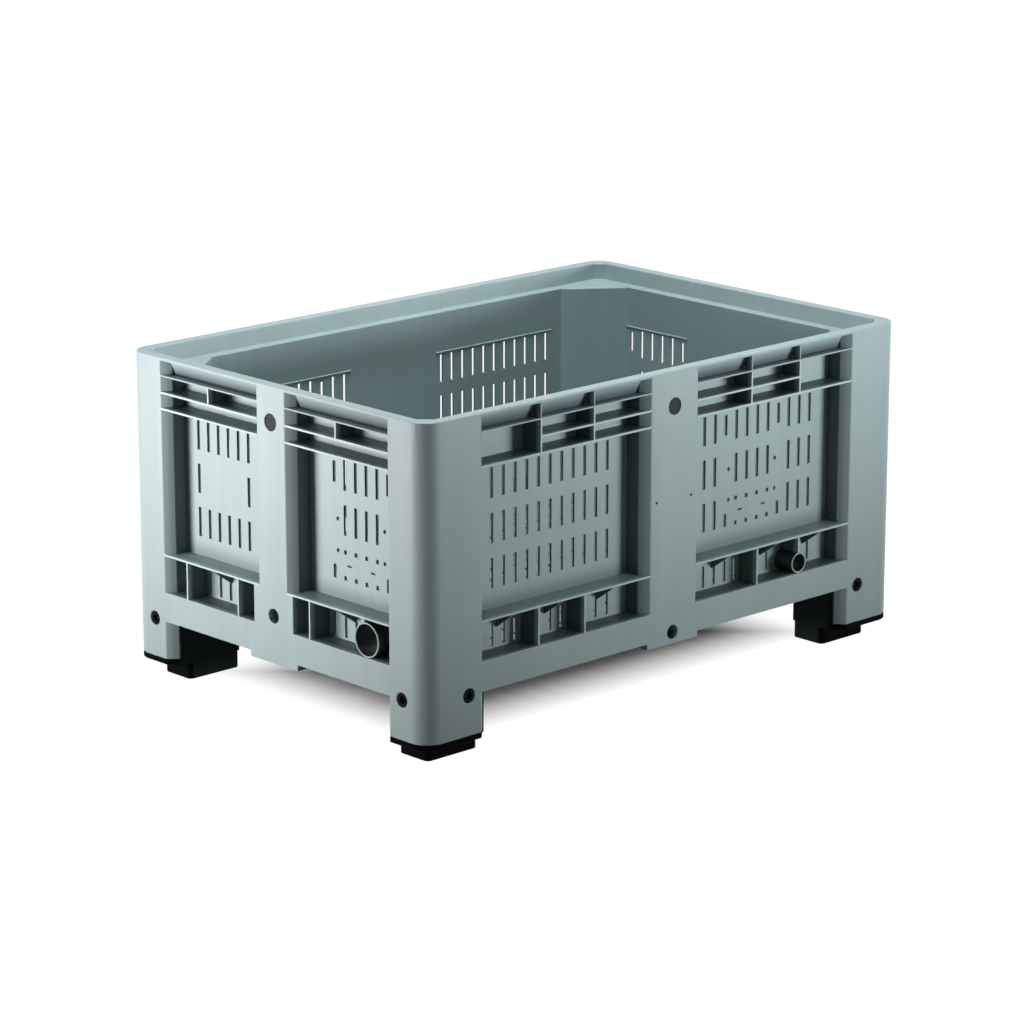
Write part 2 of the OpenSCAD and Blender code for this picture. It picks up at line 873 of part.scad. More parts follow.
base_deck();
spout("left", spout_of("left_front"));  // spout_wide
spout("front", spout_of("front_right"));  // spout_narrow
for (s = SIDES) {
    beam(s);
    middle_post(s);
    upper_ribs(s);
    shelf(s);
    sill_ribs(s);
    ledge(s);
    rim_lip(s);
    post_plug(s);
}
for (h = HALVES)
    panel(h[0], h[1], h[2]);
for (c = CORNERS) {
    corner_post(c);
    foot(c);
    for (f = PIN_FACES)
        foot_pin(c, f);
}
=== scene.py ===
import json
import math

import bmesh
import bpy
from mathutils import Matrix, Vector
from mathutils.bvhtree import BVHTree
from mathutils.geometry import area_tri, delaunay_2d_cdt

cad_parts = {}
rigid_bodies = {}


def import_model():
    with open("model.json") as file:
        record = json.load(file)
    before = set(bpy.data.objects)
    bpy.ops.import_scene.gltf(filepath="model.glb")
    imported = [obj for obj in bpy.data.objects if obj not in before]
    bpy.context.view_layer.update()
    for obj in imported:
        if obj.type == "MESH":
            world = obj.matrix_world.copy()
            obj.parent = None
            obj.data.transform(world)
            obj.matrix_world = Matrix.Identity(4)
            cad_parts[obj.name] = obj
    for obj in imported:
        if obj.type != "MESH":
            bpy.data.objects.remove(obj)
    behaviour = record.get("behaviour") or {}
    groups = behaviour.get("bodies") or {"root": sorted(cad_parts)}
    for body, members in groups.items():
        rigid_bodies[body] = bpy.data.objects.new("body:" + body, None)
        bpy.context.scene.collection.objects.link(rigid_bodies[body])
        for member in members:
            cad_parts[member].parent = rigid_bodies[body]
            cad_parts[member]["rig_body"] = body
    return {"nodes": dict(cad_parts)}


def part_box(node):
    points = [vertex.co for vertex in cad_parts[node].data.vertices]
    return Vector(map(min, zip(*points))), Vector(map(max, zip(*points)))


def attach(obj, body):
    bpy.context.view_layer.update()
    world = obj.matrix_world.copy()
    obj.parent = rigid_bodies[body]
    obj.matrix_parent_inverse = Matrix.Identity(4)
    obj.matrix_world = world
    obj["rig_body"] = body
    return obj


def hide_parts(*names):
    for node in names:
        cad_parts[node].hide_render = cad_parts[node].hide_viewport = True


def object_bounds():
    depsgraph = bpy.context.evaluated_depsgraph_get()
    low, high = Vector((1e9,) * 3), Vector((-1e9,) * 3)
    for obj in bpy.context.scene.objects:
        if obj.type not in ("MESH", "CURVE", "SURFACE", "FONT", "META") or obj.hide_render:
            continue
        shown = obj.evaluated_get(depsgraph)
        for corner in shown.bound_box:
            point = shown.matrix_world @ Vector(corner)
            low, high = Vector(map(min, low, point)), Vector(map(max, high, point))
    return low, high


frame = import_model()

cad_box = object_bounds()


# Base deck: the bin's perforated floor, with a grid of ribs under it that carries the fruit.
# Injection-moulded grey polyethylene, one moulding with the walls; its edges run into the beams
# and corner posts, so only edges that stand free are rounded.
MM = 0.001
DECK_ROUNDING = 1.2 * MM
boxes = {node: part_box(node) for node in frame["nodes"]}
bin_half = (cad_box[1] - cad_box[0]) / 2


def reckon(tree, operation, *values):
    """Numbers, each a value or an output, put together."""
    node = tree.nodes.new("ShaderNodeMath")
    node.operation = operation
    for entry, value in zip(node.inputs, values):
        if isinstance(value, (int, float)):
            entry.default_value = value
        else:
            tree.links.new(value, entry)
    return node.outputs[0]


def product(tree, first, *others):
    """Numbers, each a value or an output, multiplied together."""
    for other in others:
        first = reckon(tree, "MULTIPLY", first, other)
    return first


def flipped(tree, value):
    """What a share lacks to be whole."""
    return reckon(tree, "SUBTRACT", 1, value)


def between(tree, value, low, high):
    """A number between two ends, by a value from 0 to 1."""
    node = tree.nodes.new("ShaderNodeMapRange")
    node.inputs["To Min"].default_value = low
    node.inputs["To Max"].default_value = high
    tree.links.new(value, node.inputs["Value"])
    return node.outputs["Result"]


def eased(tree, value, start, end):
    """0 before a start and 1 after an end, with a soft rise between."""
    node = tree.nodes.new("ShaderNodeMapRange")
    node.interpolation_type = "SMOOTHSTEP"
    node.inputs["From Min"].default_value = start
    node.inputs["From Max"].default_value = end
    tree.links.new(value, node.inputs["Value"])
    return node.outputs["Result"]


def noise(tree, coordinates, scale, detail, stretch=(1, 1, 1)):
    """Fractal noise on the object's own coordinates, stretched along its axes."""
    mapping = tree.nodes.new("ShaderNodeMapping")
    mapping.inputs["Scale"].default_value = stretch
    texture = tree.nodes.new("ShaderNodeTexNoise")
    texture.inputs["Scale"].default_value = scale
    texture.inputs["Detail"].default_value = detail
    tree.links.new(coordinates, mapping.inputs["Vector"])
    tree.links.new(mapping.outputs["Vector"], texture.inputs["Vector"])
    return texture.outputs["Fac"]


RAMP_PLACES = (0.3, 0.7)


def ramp(tree, value, *shades):
    """Colours between a dark and a light shade, by a value from 0 to 1."""
    node = tree.nodes.new("ShaderNodeValToRGB")
    for stop, place, shade in zip(node.color_ramp.elements, RAMP_PLACES, shades):
        stop.position = place
        stop.color = (*shade, 1)
    tree.links.new(value, node.inputs["Fac"])
    return node.outputs["Color"]


CLOUD_SCALE = 5
FLOW_SCALE = 9
FLOW_STRETCH = (4, 4, 0.25)
CLOUD_SHARE = 0.5
SCUFF_SCALE = 30
POLISH = 0.08
WEAR = 0.1
GRAIN_SCALE = 900
GRAIN_STRENGTH = 0.25


def moulded_plastic(name, dark, light, roughness, gloss, grain_height):
    """Satin moulded plastic: cloudy colour with upright flow marks, a fine grain and worn patches."""
    material = bpy.data.materials.new(name)
    material.use_nodes = True
    tree = material.node_tree
    shader = tree.nodes["Principled BSDF"]
    shader.inputs["Specular IOR Level"].default_value = gloss
    coordinates = tree.nodes.new("ShaderNodeTexCoord").outputs["Object"]
    clouds = noise(tree, coordinates, CLOUD_SCALE, detail=3)
    flow = noise(tree, coordinates, FLOW_SCALE, detail=2, stretch=FLOW_STRETCH)
    shade = reckon(tree, "MULTIPLY_ADD", clouds, CLOUD_SHARE, product(tree, flow, 1 - CLOUD_SHARE))
    tree.links.new(ramp(tree, shade, dark, light), shader.inputs["Base Color"])
    scuffs = noise(tree, coordinates, SCUFF_SCALE, detail=4)
    worn = between(tree, scuffs, roughness - POLISH, roughness + WEAR)
    tree.links.new(worn, shader.inputs["Roughness"])
    grain = tree.nodes.new("ShaderNodeBump")
    grain.inputs["Strength"].default_value = GRAIN_STRENGTH
    grain.inputs["Distance"].default_value = grain_height
    tree.links.new(noise(tree, coordinates, GRAIN_SCALE, detail=2), grain.inputs["Height"])
    tree.links.new(grain.outputs["Normal"], shader.inputs["Normal"])
    return material


MIX_UNDER = 6
MIX_OVER = 7
MIX_RESULT = 2


def lay_tone(tree, share, tone, blend):
    """Lays a tone over a material's colour, by a share from 0 to 1."""
    shader = tree.nodes["Principled BSDF"]
    clean = shader.inputs["Base Color"].links[0].from_socket
    layer = tree.nodes.new("ShaderNodeMix")
    layer.data_type = "RGBA"
    layer.blend_type = blend
    layer.inputs[MIX_OVER].default_value = (*tone, 1)
    tree.links.new(share, layer.inputs["Factor"])
    tree.links.new(clean, layer.inputs[MIX_UNDER])
    tree.links.new(layer.outputs[MIX_RESULT], shader.inputs["Base Color"])


def parts_of(tree, vector):
    """A vector's three parts."""
    node = tree.nodes.new("ShaderNodeSeparateXYZ")
    tree.links.new(vector, node.inputs["Vector"])
    return node.outputs["X"], node.outputs["Y"], node.outputs["Z"]


def sizes_of(tree, vector):
    """A vector's three parts, without their signs."""
    return [reckon(tree, "ABSOLUTE", part) for part in parts_of(tree, vector)]


FACING_START = 0.5
FACING_FULL = 0.95


def wall_terms(tree):
    """A place's depths in from the bin's ends and from its sides, its height, how far its face looks
    straight out or in, and how level the face is."""
    texture = tree.nodes.new("ShaderNodeTexCoord").outputs
    x, y, height = sizes_of(tree, texture["Object"])
    endwards, sidewards, level = sizes_of(tree, texture["Normal"])
    end_depth = reckon(tree, "SUBTRACT", bin_half.x, x)
    side_depth = reckon(tree, "SUBTRACT", bin_half.y, y)
    on_side = reckon(tree, "LESS_THAN", side_depth, end_depth)
    turn = reckon(tree, "SUBTRACT", sidewards, endwards)
    outwards = reckon(tree, "MULTIPLY_ADD", on_side, turn, endwards)
    return end_depth, side_depth, height, eased(tree, outwards, FACING_START, FACING_FULL), level


# Painted shade for the walls' recesses: its tint and the depths over which it sets in.
RECESS_SHADE_TINT = (0.22, 0.24, 0.24)
RECESS_SHADE_START = 3 * MM
RECESS_SHADE_FULL = 14 * MM
SHELF_TOP = boxes["shelf_front"][1].z
SHELF_BAND = 3 * MM
SHELF_SHADE_RELIEF = 0.5
PANEL_FACE = 40 * MM
FOOT_RISE = 34 * MM
FOOT_SHARE = 0.6
WALL_END = 49 * MM
LEDGE_FOOT = boxes["ledge_front"][0].z - MM
CHANNEL_FOOT = boxes["ledge_front"][0].z + 3 * MM
CHANNEL_TOP = boxes["rim_lip_front"][1].z - 6 * MM
CHANNEL_END = 22.5 * MM
CHANNEL_SHARE = 0.9
CORNER_REACH = 60 * MM
DECK_LINE = boxes["base_deck"][1].z + MM
DECK_SHARE = 0.75


def paint_recess_shade(material, tint, start, full):
    """Paints shade: darkens the sides and tops of the walls' recesses, the foot of the panels behind them,
    the channel inside the rim lip and the deck, where shade falls."""
    tree = material.node_tree
    end_depth, side_depth, height, outwards, level = wall_terms(tree)
    depth = reckon(tree, "MINIMUM", end_depth, side_depth)
    on_shelf = reckon(tree, "COMPARE", height, SHELF_TOP, SHELF_BAND)
    aside = reckon(tree, "SUBTRACT", flipped(tree, outwards), product(tree, level, on_shelf, SHELF_SHADE_RELIEF))
    sides = product(tree, aside, eased(tree, depth, start, full))

    foot = flipped(tree, eased(tree, height, SHELF_TOP, SHELF_TOP + FOOT_RISE))
    above_shelf = reckon(tree, "GREATER_THAN", height, SHELF_TOP)
    on_panel = reckon(tree, "GREATER_THAN", depth, PANEL_FACE)
    foot = product(tree, foot, FOOT_SHARE, above_shelf, on_panel)
    below_ledge = reckon(tree, "LESS_THAN", height, LEDGE_FOOT)
    in_wall = reckon(tree, "LESS_THAN", depth, WALL_END)
    wall = product(tree, reckon(tree, "MAXIMUM", sides, foot), below_ledge, in_wall)

    fill = flipped(tree, eased(tree, height, CHANNEL_FOOT, CHANNEL_TOP))
    fill = product(tree, fill, reckon(tree, "GREATER_THAN", depth, RECESS_SHADE_FULL), CHANNEL_SHARE)
    below_rim = reckon(tree, "LESS_THAN", height, CHANNEL_TOP)
    in_lip = reckon(tree, "LESS_THAN", depth, CHANNEL_END)
    channel = reckon(tree, "MAXIMUM", sides, fill)
    channel = product(tree, channel, below_rim, in_lip, flipped(tree, below_ledge))

    deepest = reckon(tree, "MAXIMUM", end_depth, side_depth)
    off_corner = reckon(tree, "GREATER_THAN", deepest, CORNER_REACH)
    painted_shade = product(tree, reckon(tree, "MAXIMUM", wall, channel), off_corner)
    low = reckon(tree, "LESS_THAN", height, DECK_LINE)
    inside = reckon(tree, "GREATER_THAN", depth, WALL_END)
    deck = product(tree, level, low, inside, DECK_SHARE)
    lay_tone(tree, reckon(tree, "MAXIMUM", painted_shade, deck), tint, "MULTIPLY")


SHELL_DARK = (0.295, 0.405, 0.412)
SHELL_LIGHT = (0.342, 0.46, 0.468)
SHELL_FINISH = {"roughness": 0.45, "gloss": 0.4, "grain_height": 0.2 * MM}
shell_grey = moulded_plastic("shell_grey", SHELL_DARK, SHELL_LIGHT, **SHELL_FINISH)
# The shell carries painted shade in its recesses, at the panels' feet, in the lip channel and on the deck.
paint_recess_shade(shell_grey, RECESS_SHADE_TINT, RECESS_SHADE_START, RECESS_SHADE_FULL)

TOUCH = 0.5 * MM
NOT_SHELL = ("foot_", "post_plug_")


def neighbours_of(node):
    """Search tree of the other shell pieces whose boxes meet this piece's box."""
    low, high = boxes[node]
    corners, faces = [], []
    for other, (other_low, other_high) in boxes.items():
        apart = any(
            other_low[k] > high[k] + TOUCH or other_high[k] < low[k] - TOUCH for k in range(3)
        )
        if other == node or apart or other.startswith(NOT_SHELL):
            continue
        first = len(corners)
        mesh = frame["nodes"][other].data
        corners += [vertex.co.copy() for vertex in mesh.vertices]
        faces += [[first + i for i in polygon.vertices] for polygon in mesh.polygons]
    return BVHTree.FromPolygons(corners, faces) if faces else None


SHARP_ANGLE = math.radians(25)
ROUNDINGS_WIDE = 2.2


def wide_enough(edge, rounding):
    """True if both faces beside an edge have room for its rounding."""
    start = edge.verts[0].co
    along = (edge.verts[1].co - start).normalized()
    for face in edge.link_faces:
        width = max(((v.co - start) - along * along.dot(v.co - start)).length for v in face.verts)
        if width < ROUNDINGS_WIDE * rounding:
            return False
    return True


def is_sharp(edge, rounding):
    """True if an edge sticks out and has room to be rounded."""
    return (
        len(edge.link_faces) == 2
        and edge.is_convex
        and edge.calc_face_angle() > SHARP_ANGLE
        and wide_enough(edge, rounding)
    )


SHORT_TOUCH = 10 * MM
PLACE_SPACING = 2 * MM
FEWEST_PLACES = 5
MOST_PLACES = 400
HALVINGS = 8
FREE_SHARE = 0.4


def touched(others, point):
    """True if another piece reaches a point on a piece's edge."""
    return others is not None and others.find_nearest(point, TOUCH)[0] is not None


def touch_states(edge, others):
    """Places along an edge, as shares of its length, each with whether another piece touches there.
    A short touch, as of a thin rib on a long edge, doesn't count."""
    start, end = edge.verts[0].co, edge.verts[1].co
    length = (end - start).length
    count = min(MOST_PLACES, max(FEWEST_PLACES, round(length / PLACE_SPACING)))
    shares = [(i + 0.5) / count for i in range(count)]
    states = [touched(others, start.lerp(end, share)) for share in shares]
    i = 0
    while i < count:
        j = i
        while j < count and states[j] == states[i]:
            j += 1
        if states[i] and j - i < count and (j - i) / count * length < SHORT_TOUCH:
            states[i:j] = [False] * (j - i)
        i = j
    return shares, states


def touch_ends(edge, others):
    """Points along an edge where another piece's touch begins or ends, with the edge's direction."""
    start, end = edge.verts[0].co, edge.verts[1].co
    along = (end - start).normalized()
    shares, states = touch_states(edge, others)
    ends = []
    for i in range(len(shares) - 1):
        if states[i] == states[i + 1]:
            continue
        low, high = shares[i], shares[i + 1]
        for _ in range(HALVINGS):
            middle = (low + high) / 2
            if touched(others, start.lerp(end, middle)) == states[i]:
                low = middle
            else:
                high = middle
        inwards = 1 if states[i + 1] else -1
        ends.append((start.lerp(end, low) + along * inwards * TOUCH, along))
    return ends


def stands_free(edge, others):
    """True if other pieces touch only a small part of an edge."""
    states = touch_states(edge, others)[1]
    return sum(states) < FREE_SHARE * len(states)


MERGE_DISTANCE = 0.01 * MM


def cut_at_touches(bm, others, rounding):
    """Cuts a mesh across where the touch of another piece on one of its edges begins or ends."""
    planes = {}
    for edge in bm.edges:
        if is_sharp(edge, rounding):
            for point, along in touch_ends(edge, others):
                if along[max(range(3), key=lambda k: abs(along[k]))] < 0:
                    along = -along
                place = round(point.dot(along) / MM, 1)
                planes[(*(round(part, 2) for part in along), place)] = (point, along)
    for point, along in planes.values():
        geometry = bm.verts[:] + bm.edges[:] + bm.faces[:]
        bmesh.ops.bisect_plane(bm, geom=geometry, dist=MERGE_DISTANCE, plane_co=point, plane_no=along)


FLATNESS = 0.01 * MM


def lies_in(face, point, normal):
    """Whether all of a face lies in a plane."""
    return all(abs((vertex.co - point).dot(normal)) < FLATNESS for vertex in face.verts)


def flat_regions(bm, is_rounding):
    """Groups of joined faces that lie in one plane, and the faces that are not flat in themselves."""
    regions, bent, seen = [], [], set()
    for first in sorted(bm.faces, key=lambda face: -face.calc_area()):
        if first in seen or first[is_rounding]:
            continue
        point = first.verts[0].co
        if not lies_in(first, point, first.normal):
            bent.append(first)
            continue
        region, queue = {first}, [first]
        while queue:
            for edge in queue.pop().edges:
                for other in edge.link_faces:
                    if other in region or other in seen or other[is_rounding]:
                        continue
                    if lies_in(other, point, first.normal):
                        region.add(other)
                        queue.append(other)
        seen |= region
        regions.append(region)
    return regions, bent


KEEP_ALL_FACES = 0
SAME_PLACE = 1e-9
AREA_SLACK = 0.002


def triangles_between(places, sides):
    """Triangles that fill the flat outline and holes that sides draw, with the place each corner is from."""
    _, edges, faces, sources, edge_sources, _ = delaunay_2d_cdt(
        places, sides, [], KEEP_ALL_FACES, SAME_PLACE, True
    )
    is_side = {frozenset(edge): bool(source) for edge, source in zip(edges, edge_sources)}
    faces_at = {}
    for face in faces:
        for first, second in zip(face, face[1:] + face[:1]):
            faces_at.setdefault(frozenset((first, second)), []).append(tuple(face))
    inside = {}
    queue = []
    for edge, joined in faces_at.items():
        if len(joined) == 1 and joined[0] not in inside:
            inside[joined[0]] = is_side[edge]
            queue.append(joined[0])
    while queue:
        face = queue.pop()
        for first, second in zip(face, face[1:] + face[:1]):
            edge = frozenset((first, second))
            for other in faces_at[edge]:
                if other not in inside:
                    inside[other] = inside[face] != is_side[edge]
                    queue.append(other)
    return [face for face, kept in inside.items() if kept], sources


def lay_anew(bm, region):
    """Fills a flat region again with triangles between its borders, so that none folds over."""
    extent = sum((face.normal * face.calc_area() for face in region), Vector())
    normal = extent.normalized()
    across = normal.orthogonal().normalized()
    along = normal.cross(across)
    edges = list(dict.fromkeys(edge for face in region for edge in face.edges))
    borders = [edge for edge in edges if sum(face in region for face in edge.link_faces) == 1]
    corners = list(dict.fromkeys(vertex for edge in borders for vertex in edge.verts))
    number = {vertex: index for index, vertex in enumerate(corners)}
    places = [Vector((vertex.co.dot(across), vertex.co.dot(along))) for vertex in corners]
    sides = [tuple(number[vertex] for vertex in edge.verts) for edge in borders]
    faces, sources = triangles_between(places, sides)
    if any(len(sources[index]) == 0 for face in faces for index in face):
        return
    covered = sum(area_tri(*(corners[sources[index][0]].co for index in face)) for face in faces)
    if abs(covered - extent.length) > AREA_SLACK * extent.length:
        return
    kept = set(borders)
    bmesh.ops.delete(bm, geom=list(region), context="FACES_ONLY")
    bmesh.ops.delete(bm, geom=[edge for edge in edges if edge not in kept], context="EDGES")
    for face in faces:
        made = bm.faces.new([corners[sources[index][0]] for index in face])
        made.normal_update()
        if made.normal.dot(normal) < 0:
            made.normal_flip()


SHADE_ANGLE = math.radians(38)
STEP_ANGLE = math.radians(28)
ROUND_ANGLE = math.radians(60)


def corner_normals(bm, is_rounding):
    """A normal for each face corner: flat faces stay flat, curved walls and roundings are smooth."""
    weight = {face: face.calc_area() ** 2 for face in bm.faces}

    def mean_normal(face, vertex, rounding, limit):
        near = [
            f for f in vertex.link_faces
            if f[is_rounding] == rounding and f.normal.dot(face.normal) > math.cos(limit)
        ]
        return sum((f.normal * weight[f] ** (1 - rounding) for f in near), Vector()).normalized()

    normals = []
    for face in bm.faces:
        for vertex in face.verts:
            if not face[is_rounding]:
                normals.append(mean_normal(face, vertex, 0, SHADE_ANGLE))
                continue
            wall = mean_normal(face, vertex, 0, STEP_ANGLE)
            normals.append(wall if wall.length > 0 else mean_normal(face, vertex, 1, ROUND_ANGLE))
    return normals


FLAT_ANGLE = math.radians(0.5)
ROUND_STEPS = 3
ROUND_PROFILE = 0.5
QUAD_CORNERS = 4


def stays_sharp(edge, height):
    """Whether an edge lies at the height, where there is one, at which edges aren't rounded."""
    return height is not None and all(abs(vertex.co.z - height) < TOUCH for vertex in edge.verts)


def rounded_mesh(node, rounding, sharp_height):
    """Copy of a node's mesh, merged into flat faces, with the edges that stand free rounded."""
    bm = bmesh.new()
    bm.from_mesh(frame["nodes"][node].data)
    is_rounding = bm.faces.layers.int.new("is_rounding")
    bmesh.ops.remove_doubles(bm, verts=bm.verts, dist=MERGE_DISTANCE)
    bmesh.ops.dissolve_limit(
        bm, angle_limit=FLAT_ANGLE, verts=bm.verts, edges=bm.edges, use_dissolve_boundaries=False
    )
    others = neighbours_of(node)
    cut_at_touches(bm, others, rounding)
    free = [
        edge for edge in bm.edges
        if is_sharp(edge, rounding) and stands_free(edge, others) and not stays_sharp(edge, sharp_height)
    ]
    made = bmesh.ops.bevel(
        bm, geom=free, offset=rounding, offset_type="OFFSET", affect="EDGES",
        segments=ROUND_STEPS, profile=ROUND_PROFILE, clamp_overlap=False, loop_slide=False,
    )
    for face in made["faces"]:
        face[is_rounding] = 1
    bmesh.ops.remove_doubles(bm, verts=bm.verts, dist=MERGE_DISTANCE)
    bm.normal_update()
    regions, bent = flat_regions(bm, is_rounding)
    for region in regions:
        if len(region) > 1 or len(next(iter(region)).verts) > QUAD_CORNERS:
            lay_anew(bm, region)
    bmesh.ops.triangulate(bm, faces=bent, quad_method="BEAUTY", ngon_method="BEAUTY")
    bm.normal_update()
    normals = corner_normals(bm, is_rounding)
    mesh = bpy.data.meshes.new(node)
    bm.to_mesh(mesh)
    bm.free()
    mesh.polygons.foreach_set("use_smooth", [True] * len(mesh.polygons))
    mesh.normals_split_custom_set(normals)
    return mesh


def added(name, data):
    """A new object in the scene."""
    thing = bpy.data.objects.new(name, data)
    bpy.context.scene.collection.objects.link(thing)
    return thing


def finished(node, rounding, material, sharp_height=None):
    """Puts a rounded piece in a node's place; its edges at one height may stay sharp."""
    mesh = rounded_mesh(node, rounding, sharp_height)
    mesh.materials.clear()
    mesh.materials.append(material)
    piece = added("finished_" + node, mesh)
    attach(piece, frame["nodes"][node]["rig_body"])
    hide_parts(node)


finished("base_deck", DECK_ROUNDING, shell_grey)


# Bottom beams: upside-down channels between the corner posts, with a short tongue at the middle.
# Grey polyethylene, part of the shell's moulding; forklift arms pass under them.
SIDES = ("front", "back", "left", "right")
BEAM_ROUNDING = 1.5 * MM
for side in SIDES:
    finished("beam_" + side, BEAM_ROUNDING, shell_grey)


# Corner posts: hollow sections with rounded outer corners that run down into the legs.
# Grey polyethylene, part of the shell's moulding; the feet plug into them from below. The shoulders
# above the legs stay sharp, because they run on into the beams.
CORNERS = ("front_left", "front_right", "back_left", "back_right")
POST_ROUNDING = 2.5 * MM
SHOULDER = 115 * MM
for corner in CORNERS:
    finished("corner_post_" + corner, POST_ROUNDING, shell_grey, SHOULDER)


# Middle posts: hollow sections halfway along each wall that stand on the beams.
# Grey polyethylene, part of the shell's moulding.
for side in SIDES:
    finished("middle_post_" + side, POST_ROUNDING, shell_grey)


# Panels: the slotted skins that close each half wall.
# Grey polyethylene, part of the shell's moulding, set back behind the posts.
HALVES = (
    "front_left", "front_right", "back_left", "back_right",
    "left_back", "left_front", "right_back", "right_front",
)
THIN_ROUNDING = 0.8 * MM
for half in HALVES:
    finished("panel_" + half, THIN_ROUNDING, shell_grey)


# Ribs and shelves: plates across the walls above and below the slotted fields.
# Grey polyethylene, part of the shell's moulding; they stiffen the walls. Their grey is paler than the
# shell's, a painted highlight on their front edges, and their sides carry painted shade as the posts' do.
RIB_HIGHLIT_DARK = (0.41, 0.565, 0.575)
RIB_HIGHLIT_LIGHT = (0.475, 0.64, 0.65)
RIB_SHADE_TINT = (0.16, 0.17, 0.17)
rib_grey = moulded_plastic("rib_grey", RIB_HIGHLIT_DARK, RIB_HIGHLIT_LIGHT, **SHELL_FINISH)
# Painted shade on the ribs' recess sides, in a darker tint.
paint_recess_shade(rib_grey, RIB_SHADE_TINT, RECESS_SHADE_START, RECESS_SHADE_FULL)
for side in SIDES:
    for plate in ("upper_ribs_", "shelf_", "sill_ribs_"):
        finished(plate + side, THIN_ROUNDING, rib_grey)


# Stacking ledges and rim lips: the step that carries the next bin's feet and the wall around it.
# Grey polyethylene, part of the shell's moulding.
RIM_ROUNDING = 2 * MM
for side in SIDES:
    finished("ledge_" + side, THIN_ROUNDING, shell_grey)
    finished("rim_lip_" + side, RIM_ROUNDING, shell_grey)


# Beads: thin ridges above the slots on the inner faces of the walls.
# Grey polyethylene, part of the shell's moulding; they keep fruit off the slots' upper ends.
BEAD_RADIUS = 1.6 * MM
BEAD_SIDES = 10
BEAD_BELOW_RIBS = 13 * MM
BEAD_PAST_SLOTS = 15 * MM
INNER_FACE = 50 * MM
LONG_MARGINS = (49 * MM, 49 * MM)
SHORT_MARGINS = (62.5 * MM, 34.5 * MM)
WALL_RUNS = {
    "front": Vector((1, 0, 0)),
    "back": Vector((-1, 0, 0)),
    "left": Vector((0, -1, 0)),
    "right": Vector((0, 1, 0)),
}
TREE_INPUTS = {"Places": "Geometry", "Radius": "Float", "Material": "Material"}


def shaped_tree(name, shape):
    """Geometry nodes that make a shape of a given radius on places and give it a material."""
    tree = bpy.data.node_groups.new(name, "GeometryNodeTree")
    for entry, kind in TREE_INPUTS.items():
        tree.interface.new_socket(entry, in_out="INPUT", socket_type="NodeSocket" + kind)
    tree.interface.new_socket("Geometry", in_out="OUTPUT", socket_type="NodeSocketGeometry")
    entrance = tree.nodes.new("NodeGroupInput").outputs
    realised = tree.nodes.new("GeometryNodeRealizeInstances")
    painted = tree.nodes.new("GeometryNodeSetMaterial")
    leaving = tree.nodes.new("NodeGroupOutput")
    tree.links.new(shape(tree, entrance), realised.inputs["Geometry"])
    tree.links.new(realised.outputs["Geometry"], painted.inputs["Geometry"])
    tree.links.new(entrance["Material"], painted.inputs["Material"])
    tree.links.new(painted.outputs["Geometry"], leaving.inputs["Geometry"])
    return tree


def grown(name, places, tree, radius, material):
    """A plain mesh of what a tree makes on a curve or on points, which rides on the bin."""
    carrier = added(name + "_carrier", places)
    modifier = carrier.modifiers.new(name, "NODES")
    modifier.node_group = tree
    values = {"Radius": radius, "Material": material}
    for entry in tree.interface.items_tree:
        if entry.in_out == "INPUT" and entry.name in values:
            modifier[entry.identifier] = values[entry.name]
    evaluated = carrier.evaluated_get(bpy.context.evaluated_depsgraph_get())
    mesh = bpy.data.meshes.new_from_object(evaluated)
    carrier.modifiers.remove(modifier)
    bpy.data.objects.remove(carrier)
    mesh.name = name
    mesh.polygons.foreach_set("use_smooth", [True] * len(mesh.polygons))
    mesh.set_sharp_from_angle(angle=SHADE_ANGLE)
    piece = added(name, mesh)
    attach(piece, "bin")


def swept_bead(tree, entrance):
    """A round bead along paths."""
    section = tree.nodes.new("GeometryNodeCurvePrimitiveCircle")
    section.inputs["Resolution"].default_value = BEAD_SIDES
    swept = tree.nodes.new("GeometryNodeCurveToMesh")
    swept.inputs["Fill Caps"].default_value = True
    tree.links.new(entrance["Radius"], section.inputs["Radius"])
    tree.links.new(entrance["Places"], swept.inputs["Curve"])
    tree.links.new(section.outputs["Curve"], swept.inputs["Profile Curve"])
    return swept.outputs["Mesh"]


def straight_runs(name, runs):
    """A curve of straight runs, each given by its two ends."""
    curve = bpy.data.curves.new(name, "CURVE")
    curve.dimensions = "3D"
    for ends in runs:
        spline = curve.splines.new("POLY")
        spline.points.add(1)
        for point, end in zip(spline.points, ends):
            point.co = (*end, 1)
    return curve


def on_wall(side, along, depth, height):
    """A point by its place along a wall, its depth from the outer plane and its height."""
    run = WALL_RUNS[side]
    outwards = Vector((run.y, -run.x, 0))
    return run * along + outwards * (abs(outwards.dot(bin_half)) - depth) + Vector((0, 0, height))


beads = []
for half in HALVES:
    side = half.split("_")[0]
    start, end = sorted(WALL_RUNS[side].dot(corner) for corner in boxes["panel_" + half])
    margins = LONG_MARGINS if side in ("front", "back") else SHORT_MARGINS
    first, last = margins if abs(start) < abs(end) else margins[::-1]
    height = boxes["upper_ribs_" + side][0].z - BEAD_BELOW_RIBS
    ends = (start + first - BEAD_PAST_SLOTS, end - last + BEAD_PAST_SLOTS)
    beads.append([on_wall(side, along, INNER_FACE, height) for along in ends])
bead_paths = straight_runs("slot_beads", beads)
bead_tree = shaped_tree("bead", swept_bead)
grown("slot_beads", bead_paths, bead_tree, BEAD_RADIUS, shell_grey)


# Drain spouts: open tubes through the panels, a wide one and a narrow one.
# Grey polyethylene, moulded with the wall they leave; their bores and barrels are painted near black, a
# painted shade.
SPOUT_SHADE_TINT = (0.05, 0.055, 0.055)
SPOUT_SHADE_START = 0.8 * MM
SPOUT_SHADE_FULL = 4 * MM
spout_grey = moulded_plastic("spout_grey", SHELL_DARK, SHELL_LIGHT, **SHELL_FINISH)
